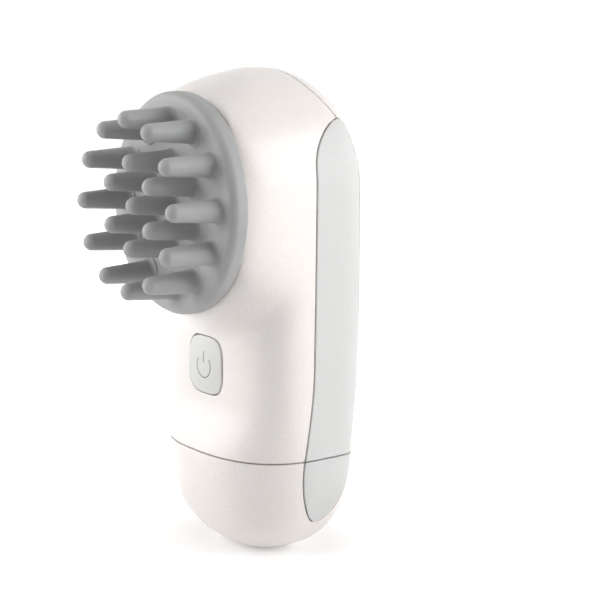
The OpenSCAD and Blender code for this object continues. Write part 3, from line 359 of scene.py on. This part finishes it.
def innerCopy(node, name):
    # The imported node's bosses, ribs and inner walls: a copy of it without the faces that the skins stand for,
    # which are those whose corners all lie nearer than near to the handle's outer surface
    place, tris = surfaceGrid(domeHeights(0, handleForm["height"], insideForm["step"]), insideForm["around"])
    tree = BVHTree.FromPolygons((handleSkin(place[:, 0], place[:, 1]) * mm).tolist(), tris.tolist())
    solid = bmesh.new()
    solid.from_mesh(frame["nodes"][node].data)
    bmesh.ops.remove_doubles(solid, verts=solid.verts, dist=insideForm["merge"] * mm)
    outer = {v for v in solid.verts if tree.find_nearest(v.co)[3] < insideForm["near"] * mm}
    skins = [face for face in solid.faces if all(v in outer for v in face.verts)]
    bmesh.ops.delete(solid, geom=skins, context="FACES")
    inner = bpy.data.meshes.new(name)
    solid.to_mesh(inner)
    solid.free()
    if "custom_normal" in inner.attributes:
        inner.attributes.remove(inner.attributes["custom_normal"])
    inner.polygons.foreach_set("use_smooth", np.ones(len(inner.polygons), bool))
    inner.set_sharp_from_angle(angle=math.radians(insideForm["sharp"]))
    obj = bpy.data.objects.new(name, inner)
    bpy.context.scene.collection.objects.link(obj)
    return obj


frontInside = innerCopy("front_shell", "frontShellInside")
rearInside = innerCopy("rear_shell", "rearShellInside")
capInside = innerCopy("battery_cap", "batteryCapInside")
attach(frontInside, "handle")
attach(rearInside, "handle")
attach(capInside, "cap")
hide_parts("front_shell")
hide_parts("rear_shell")
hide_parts("battery_cap")
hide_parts("side_grip_left")
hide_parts("side_grip_right")
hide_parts("cap_grip_left")
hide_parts("cap_grip_right")
print("stage: insides copied")


def crownedFace(ring):
    # Y of the button's face at points (x, z) measured from its middle: a shallow sphere bulging to -Y
    radius = buttonForm["crownRadius"]
    front = -handleForm["frontDepth"] - buttonForm["proud"]
    return front + radius - np.sqrt(radius ** 2 - (ring ** 2).sum(1))


def buttonBody():
    # Rings of one superellipse drawn in by e at depth y: crowned face, rounded edge, wall, flange, round stem
    button = buttonForm
    v = np.radians(np.arange(0, 360, button["turnStep"]))
    n = len(v)
    half = min(button["width"], button["height"]) / 2
    edge = button["edge"]

    def superRing(e):
        # x and z are half sizes times cos v and sin v to the power 2/p
        p = 2 / button["power"]
        return np.stack([(button["width"] / 2 - e) * np.sign(np.cos(v)) * np.abs(np.cos(v)) ** p,
                         (button["height"] / 2 - e) * np.sign(np.sin(v)) * np.abs(np.sin(v)) ** p], 1)

    stem = button["stemRadius"] * np.stack([np.cos(v), np.sin(v)], 1)
    flange, front, back = superRing(-button["flange"]), button["flangeFront"], button["flangeBack"]
    faceInsets = np.linspace(half * (1 - button["pole"]), edge, button["faceRings"])
    rings = [(superRing(e), crownedFace(superRing(e))) for e in faceInsets]
    for angle in edgeAngles:
        rings.append((superRing(edge * (1 - math.sin(angle))),
                      crownedFace(superRing(edge)) + edge * (1 - math.cos(angle))))
    for ring, y in ((superRing(0), front), (flange, front), (flange, back), (stem, back),
                    (stem, button["stemEnd"]), (stem * button["pole"], button["stemEnd"])):
        rings.append((ring, np.full(n, y)))
    points = np.concatenate([np.stack([r[:, 0], y, r[:, 1] + button["z"]], 1) for r, y in rings])
    i, j = np.meshgrid(np.arange(len(rings) - 1), np.arange(n), indexing="ij")
    a, c = (i * n + j).ravel(), (i * n + (j + 1) % n).ravel()
    faces = np.stack([a, a + n, c + n, c], 1).tolist()
    faces += [list(range(n)), list(range(len(points) - 1, len(points) - n - 1, -1))]
    return meshObject("powerButton", points, faces, sharpAngle=button["sharp"])


markForm = {
    "radius": 3.6, "open": 50.0, "barLow": 1.2, "barHigh": 4.55, "z": -0.35,
    "halfWidth": 0.21, "height": 0.03, "sunk": 0.01, "arcPoints": 60, "barPoints": 12, "sharp": 40.0,
}


def inkLine(name, path):
    # A thin flat ribbon of ink carried along a path on the button's crowned face, with its ends closed
    mark = markForm
    ahead = unit(np.gradient(path, axis=0))
    aside = np.stack([-ahead[:, 1], ahead[:, 0]], 1)
    rows = []
    for side, depth in ((-1, mark["sunk"]), (1, mark["sunk"]), (1, -mark["height"]), (-1, -mark["height"])):
        edge = path + aside * side * mark["halfWidth"]
        rows.append(np.stack([edge[:, 0], crownedFace(edge) + depth, edge[:, 1] + buttonForm["z"]], 1))
    points = np.stack(rows, 1).reshape(-1, 3)
    n = len(path)
    i, j = np.meshgrid(np.arange(n - 1), np.arange(4), indexing="ij")
    a, c = (i * 4 + j).ravel(), (i * 4 + (j + 1) % 4).ravel()
    ends = [[3, 2, 1, 0], [4 * n - 4, 4 * n - 3, 4 * n - 2, 4 * n - 1]]
    sides = np.stack([a, c, c + 4, a + 4], 1).tolist()
    obj = meshObject(name, points, sides + ends, sharpAngle=mark["sharp"])
    solid = bmesh.new()
    solid.from_mesh(obj.data)
    bmesh.ops.recalc_face_normals(solid, faces=solid.faces)
    solid.to_mesh(obj.data)
    solid.free()
    return obj


powerButton = buttonBody()
sweep = np.radians(np.linspace(90 + markForm["open"], 450 - markForm["open"], markForm["arcPoints"]))
arc = markForm["radius"] * np.stack([np.cos(sweep), np.sin(sweep)], 1) + [0, markForm["z"]]
rise = np.linspace(markForm["barLow"], markForm["barHigh"], markForm["barPoints"])
markArc = inkLine("powerMarkArc", arc)
markBar = inkLine("powerMarkBar", np.stack([rise * 0, rise + markForm["z"]], 1))
for piece in (powerButton, markArc, markBar):
    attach(piece, "button")
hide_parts("power_button")
print("stage: button made")


def hexColour(text):
    # sRGB hex to the linear colour that a node wants
    c = np.array([int(text[i:i + 2], 16) for i in (1, 3, 5)]) / 255
    c = np.where(c <= 0.04045, c / 12.92, ((c + 0.055) / 1.055) ** 2.4)
    return (float(c[0]), float(c[1]), float(c[2]), 1.0)


def addNode(tree, kind, inputs=None, **settings):
    # A node with its settings; an input is linked if it is given a socket and set if it is given a value
    node = tree.nodes.new(kind)
    for key, value in settings.items():
        setattr(node, key, value)
    for key, value in (inputs or {}).items():
        if isinstance(value, bpy.types.NodeSocket):
            tree.links.new(value, node.inputs[key])
        else:
            node.inputs[key].default_value = value
    return node


def emptyTree(owner):
    # The node tree of a material or world, cleared
    owner.use_nodes = True
    owner.node_tree.nodes.clear()
    return owner.node_tree


def startMaterial(name, shader):
    # A Principled surface with its constants on its own sockets, and the object coordinates for its patterns
    material = bpy.data.materials.new(name)
    tree = emptyTree(material)
    surface = addNode(tree, "ShaderNodeBsdfPrincipled", shader)
    addNode(tree, "ShaderNodeOutputMaterial", {"Surface": surface.outputs["BSDF"]})
    return material, tree, surface, addNode(tree, "ShaderNodeTexCoord").outputs["Object"]


def perMetre(size):
    return 1 / (size * mm)                        # noise scale for a feature of this many millimetres


def twoTone(tree, surface, factor, dark, light, low=0.35, high=0.65):
    # The base colour goes from dark to light while the factor goes from low to high
    share = addNode(tree, "ShaderNodeMapRange", {"Value": factor, "From Min": low, "From Max": high})
    tone = addNode(tree, "ShaderNodeMix", {
        0: share.outputs["Result"], 6: hexColour(dark), 7: hexColour(light)}, data_type="RGBA")
    tree.links.new(tone.outputs[2], surface.inputs["Base Color"])


def roughen(tree, surface, place, size, detail, strength, depth):
    # Bump from a noise with features of this size and depth in mm; gives the noise for the tone
    noise = addNode(tree, "ShaderNodeTexNoise", {"Vector": place, "Scale": perMetre(size), "Detail": detail})
    bump = addNode(tree, "ShaderNodeBump", {
        "Height": noise.outputs["Fac"], "Strength": strength, "Distance": depth * mm})
    tree.links.new(bump.outputs["Normal"], surface.inputs["Normal"])
    return noise.outputs["Fac"]


def pearlAbs():
    # Injection-moulded ABS under a satin pearl lacquer: soft wide highlights, a slight orange peel, and a
    # very fine fleck drawn at 0.45 mm
    material, tree, surface, place = startMaterial(
        "pearlLacqueredAbs", {"Roughness": 0.32, "IOR": 1.5, "Coat Weight": 0.25, "Coat Roughness": 0.25})
    fleck = addNode(tree, "ShaderNodeTexNoise", {"Vector": place, "Scale": perMetre(0.45), "Detail": 2.0})
    twoTone(tree, surface, fleck.outputs["Fac"], "#F1EAE6", "#F9F4F0", 0.3, 0.7)
    roughen(tree, surface, place, 1.6, 1.0, 0.25, 0.02)
    return material


def softGrip():
    # Thermoplastic elastomer, spark-eroded mould texture: matte, a fine grit drawn at 0.5 mm so that it shows
    material, tree, surface, place = startMaterial(
        "softTouchElastomer", {"Roughness": 0.52, "IOR": 1.48, "Sheen Weight": 0.08})
    grit = roughen(tree, surface, place, 0.5, 3.0, 0.4, 0.02)
    twoTone(tree, surface, grit, "#D5D5D4", "#DBDBDA")
    return material


def satinAbs():
    # Light grey ABS from a finely blasted mould: satin, hardly any texture
    material, tree, surface, place = startMaterial("satinGreyAbs", {"Roughness": 0.42, "IOR": 1.53})
    grit = roughen(tree, surface, place, 0.4, 2.0, 0.2, 0.01)
    twoTone(tree, surface, grit, "#D7D7D5", "#DCDCDA")
    return material


def mouldedSilicone():
    # Compression-moulded silicone rubber, 50 Shore A: matte, a dry bloom, a little light going in at the tips
    material, tree, surface, place = startMaterial("mouldedSilicone", {
        "Roughness": 0.5, "IOR": 1.41, "Subsurface Weight": 0.12, "Subsurface Scale": 1.5 * mm})
    bloom = addNode(tree, "ShaderNodeTexNoise", {"Vector": place, "Scale": perMetre(9.0), "Detail": 4.0})
    twoTone(tree, surface, bloom.outputs["Fac"], "#AAAAAA", "#B0B0B0")
    roughen(tree, surface, place, 0.5, 3.0, 0.3, 0.03)
    return material


def mouldedPlastic(name, dark, light, roughness, grain=0.6):
    # Plain moulded plastic inside the handle: a spark-eroded grain and a slightly uneven tone
    material, tree, surface, place = startMaterial(name, {"Roughness": roughness, "IOR": 1.5})
    noise = roughen(tree, surface, place, grain, 3.0, 0.3, 0.03)
    twoTone(tree, surface, noise, dark, light)
    return material


def metal(name, dark, light, roughness, grain=0.5):
    # Drawn, stamped or turned metal: fine streaks along Z, and the tone of the bare metal
    material, tree, surface, place = startMaterial(name, {"Metallic": 1.0, "Roughness": roughness})
    stretch = addNode(tree, "ShaderNodeMapping", {"Vector": place, "Scale": (1.0, 1.0, 0.08)})
    streak = roughen(tree, surface, stretch.outputs["Vector"], grain, 3.0, 0.15, 0.01)
    twoTone(tree, surface, streak, dark, light)
    return material


def dryCell(low=45.5, high=45.9):
    # Shrink sleeve of a dry cell, plain: a dark body and a copper-coloured band, changing between two heights
    material, tree, surface, place = startMaterial("cellSleeve", {"Roughness": 0.28, "Metallic": 0.6})
    parts = addNode(tree, "ShaderNodeSeparateXYZ", {"Vector": place})
    band = addNode(tree, "ShaderNodeMapRange", {
        "Value": parts.outputs["Z"], "From Min": low * mm, "From Max": high * mm})
    twoTone(tree, surface, band.outputs["Result"], "#2B2B2E", "#B87333", 0.49, 0.51)
    return material


def circuitBoard():
    # Glass-epoxy board with a green solder mask: copper lanes show faintly, about 7.5 mm apart, because the
    # wave node repeats 20 / 2 pi times in the 24 mm of its scale
    material, tree, surface, place = startMaterial("solderMask", {"Roughness": 0.35, "Coat Weight": 0.3})
    lanes = addNode(tree, "ShaderNodeTexWave", {
        "Vector": place, "Scale": perMetre(24.0), "Distortion": 4.0, "Detail": 1.0})
    twoTone(tree, surface, lanes.outputs["Fac"], "#175233", "#1F6B41", 0.6, 0.7)
    return material


def leadSleeve():
    # Soft PVC sleeve: red on the right lead, black on the left one, slightly glossy
    material, tree, surface, place = startMaterial("leadSleeve", {"Roughness": 0.4})
    parts = addNode(tree, "ShaderNodeSeparateXYZ", {"Vector": place})
    side = addNode(tree, "ShaderNodeMapRange", {
        "Value": parts.outputs["X"], "From Min": -0.1 * mm, "From Max": 0.1 * mm})
    twoTone(tree, surface, side.outputs["Result"], "#1A1A1A", "#A5221C", 0.49, 0.51)
    return material


def printInk():
    # Pad-printed grey ink, matte, with a slightly uneven film
    material, tree, surface, place = startMaterial("printedGreyInk", {"Roughness": 0.55})
    film = addNode(tree, "ShaderNodeTexNoise", {"Vector": place, "Scale": perMetre(0.3), "Detail": 2.0})
    twoTone(tree, surface, film.outputs["Fac"], "#8A8A8A", "#949494")
    return material


finishes = {
    "pearl_shell": pearlAbs(), "soft_grip": softGrip(),
    "button_plastic": satinAbs(), "silicone": mouldedSilicone(),
    "hub_plastic": mouldedPlastic("greyAcetal", "#C6C6C6", "#CECECE", 0.4),
    "gear_plastic": mouldedPlastic("naturalAcetal", "#E4DFCD", "#ECE8D8", 0.38),
    "black_plastic": mouldedPlastic("blackAbs", "#17171A", "#1F1F22", 0.5),
    "black_rubber": mouldedPlastic("blackRubber", "#121212", "#191919", 0.68),
    "steel": metal("brightSteel", "#B9BCC0", "#CDD0D4", 0.28),
    "brass": metal("turnedBrass", "#B8934A", "#CDA75B", 0.3),
    "contact_metal": metal("nickelPlatedStrip", "#C5C4BE", "#D6D5CF", 0.25),
    "cell": dryCell(), "board": circuitBoard(), "lead_sleeve": leadSleeve(),
}


def giveFinish(obj, material):
    obj.data.materials.clear()
    obj.data.materials.append(material)


slotOf = {part["node"]: part["material_slot"] for part in frame["record"]["subparts"]}
for node, obj in frame["nodes"].items():
    giveFinish(obj, finishes[slotOf[node]])
newPieces = {
    "pearl_shell": [frontShell, rearShell, batteryCap, frontInside, rearInside, capInside],
    "soft_grip": list(grips.values()), "button_plastic": [powerButton],
}
for slotName, pieces in newPieces.items():
    for obj in pieces:
        giveFinish(obj, finishes[slotName])
ink = printInk()
for obj in (markArc, markBar):
    giveFinish(obj, ink)
print("stage: materials made")

# Two low soft boxes leave a darker gap at the handle's front corner, and a small one above lights the crown.
# Azimuth is degrees round from the fingers' side, power is watts, and they all face one height of the handle.
softboxes = {
    "softboxLeft": {"azimuth": -39, "elevation": 9, "width": 1400.0, "height": 1300.0, "power": 17.0},
    "softboxRight": {"azimuth": 134, "elevation": 9, "width": 1200.0, "height": 1300.0, "power": 19.5},
    "softboxTop": {"azimuth": 20, "elevation": 78, "width": 800.0, "height": 800.0, "power": 2.8},
}
airForm = {"fill": 0.1, "boxDistance": 1100.0, "boxAim": 80.0}   # fill is the share of white from all round


def wayTo(azimuth, elevation):
    # Unit vector from the handle: turned from -Y towards +X by azimuth and lifted by elevation
    a, e = math.radians(azimuth), math.radians(elevation)
    return Vector((math.sin(a) * math.cos(e), -math.cos(a) * math.cos(e), math.sin(e)))


def placeFacing(obj, way, height, distance):
    # Puts a lamp or camera at a distance along way from a height on the handle's axis, looking back at it
    obj.location = (Vector((0, 0, height)) + way * distance) * mm
    obj.rotation_euler = way.to_track_quat("Z", "Y").to_euler()
    bpy.context.scene.collection.objects.link(obj)


for name, box in softboxes.items():
    lampData = bpy.data.lights.new(name, "AREA")
    lampData.shape, lampData.energy = "RECTANGLE", box["power"]
    lampData.size, lampData.size_y = box["width"] * mm, box["height"] * mm
    lamp = bpy.data.objects.new(name, lampData)
    placeFacing(lamp, wayTo(box["azimuth"], box["elevation"]), airForm["boxAim"], airForm["boxDistance"])


def whiteFor(tree, plain, white):
    # White for what the camera sees, directly or by a mirrored or refracted ray; plain for the object's light
    ray = addNode(tree, "ShaderNodeLightPath").outputs
    seen = ray["Is Camera Ray"]
    for other in ("Is Glossy Ray", "Is Transmission Ray"):
        seen = addNode(tree, "ShaderNodeMath", {0: seen, 1: ray[other]}, operation="MAXIMUM").outputs[0]
    mix = addNode(tree, "ShaderNodeMixShader", {0: seen, 1: plain.outputs[0], 2: white.outputs[0]})
    return mix.outputs[0]


def studioAir():
    # White all round for the camera, and a little of it as light
    world = bpy.data.worlds.new("studioAir")
    tree = emptyTree(world)
    air, white = [addNode(tree, "ShaderNodeBackground", {"Color": hexColour("#FFFFFF"), "Strength": strength})
                  for strength in (airForm["fill"], 1.0)]
    addNode(tree, "ShaderNodeOutputWorld", {"Surface": whiteFor(tree, air, white)})
    return world


# glow is the floor's glow under the foot, rising to 1 from glowFrom to glowFull mm out: a painted shadow round
# the foot
floorForm = {"radius": 4000.0, "below": 0.05, "sides": 48, "glow": 0.3, "glowFrom": 20.0, "glowFull": 90.0}


def studioPaper():
    # Matt white paper. For the camera it also glows, less near the foot, so that the handle's shadow shows; the
    # dimmer glow there also paints a soft shadow round the foot.
    material = bpy.data.materials.new("paleStudioPaper")
    tree = emptyTree(material)
    paper = addNode(tree, "ShaderNodeBsdfDiffuse", {"Color": hexColour("#F2F2F2")})
    place = addNode(tree, "ShaderNodeTexCoord").outputs["Object"]
    away = addNode(tree, "ShaderNodeVectorMath", {0: place}, operation="LENGTH")
    # Glow strength by distance from the floor's middle, lowest under the foot: a painted shadow
    paintedShadowFade = addNode(tree, "ShaderNodeMapRange", {
        "Value": away.outputs["Value"], "From Min": floorForm["glowFrom"] * mm,
        "From Max": floorForm["glowFull"] * mm, "To Min": floorForm["glow"], "To Max": 1.0})
    glow = addNode(tree, "ShaderNodeEmission", {
        "Color": hexColour("#FFFFFF"), "Strength": paintedShadowFade.outputs["Result"]})
    lit = addNode(tree, "ShaderNodeAddShader", {0: paper.outputs[0], 1: glow.outputs[0]})
    addNode(tree, "ShaderNodeOutputMaterial", {"Surface": whiteFor(tree, paper, lit)})
    return material


def studioFloor():
    # A round sheet just under the foot: triangles from its middle to points at radius (cos turn, sin turn)
    k = np.arange(floorForm["sides"])
    turn = k * 2 * math.pi / floorForm["sides"]
    ring = floorForm["radius"] * np.stack([np.cos(turn), np.sin(turn), 0 * turn], 1)
    points = np.concatenate([np.zeros((1, 3)), ring]) - [0, 0, floorForm["below"]]
    return meshObject("studioFloor", points, np.stack([0 * k, 1 + k, 1 + (k + 1) % len(k)], 1).tolist())


bpy.context.scene.world = studioAir()
floor = studioFloor()
giveFinish(floor, studioPaper())

# The photograph's view: focal length and the optical axis's place are pixels of a 600 x 600 picture
cameraForm = {
    "azimuth": 54.0, "elevation": 8.2, "distance": 440.0, "aim": 86.0,
    "focal": 1402.0, "axisX": 261.0, "axisY": 273.5, "pixels": 600, "sensor": 36.0, "clipEnd": 20000.0,
}
view = cameraForm
cameraData = bpy.data.cameras.new("camera")
cameraData.sensor_width = view["sensor"]
cameraData.lens = view["focal"] / view["pixels"] * view["sensor"]
cameraData.shift_x = (view["pixels"] / 2 - view["axisX"]) / view["pixels"]
cameraData.shift_y = (view["axisY"] - view["pixels"] / 2) / view["pixels"]
cameraData.clip_end = view["clipEnd"] * mm
camera = bpy.data.objects.new("camera", cameraData)
placeFacing(camera, wayTo(view["azimuth"], view["elevation"]), view["aim"], view["distance"])
bpy.context.scene.camera = camera
bpy.context.scene.view_settings.view_transform = "Standard"
print("stage: studio and camera set")
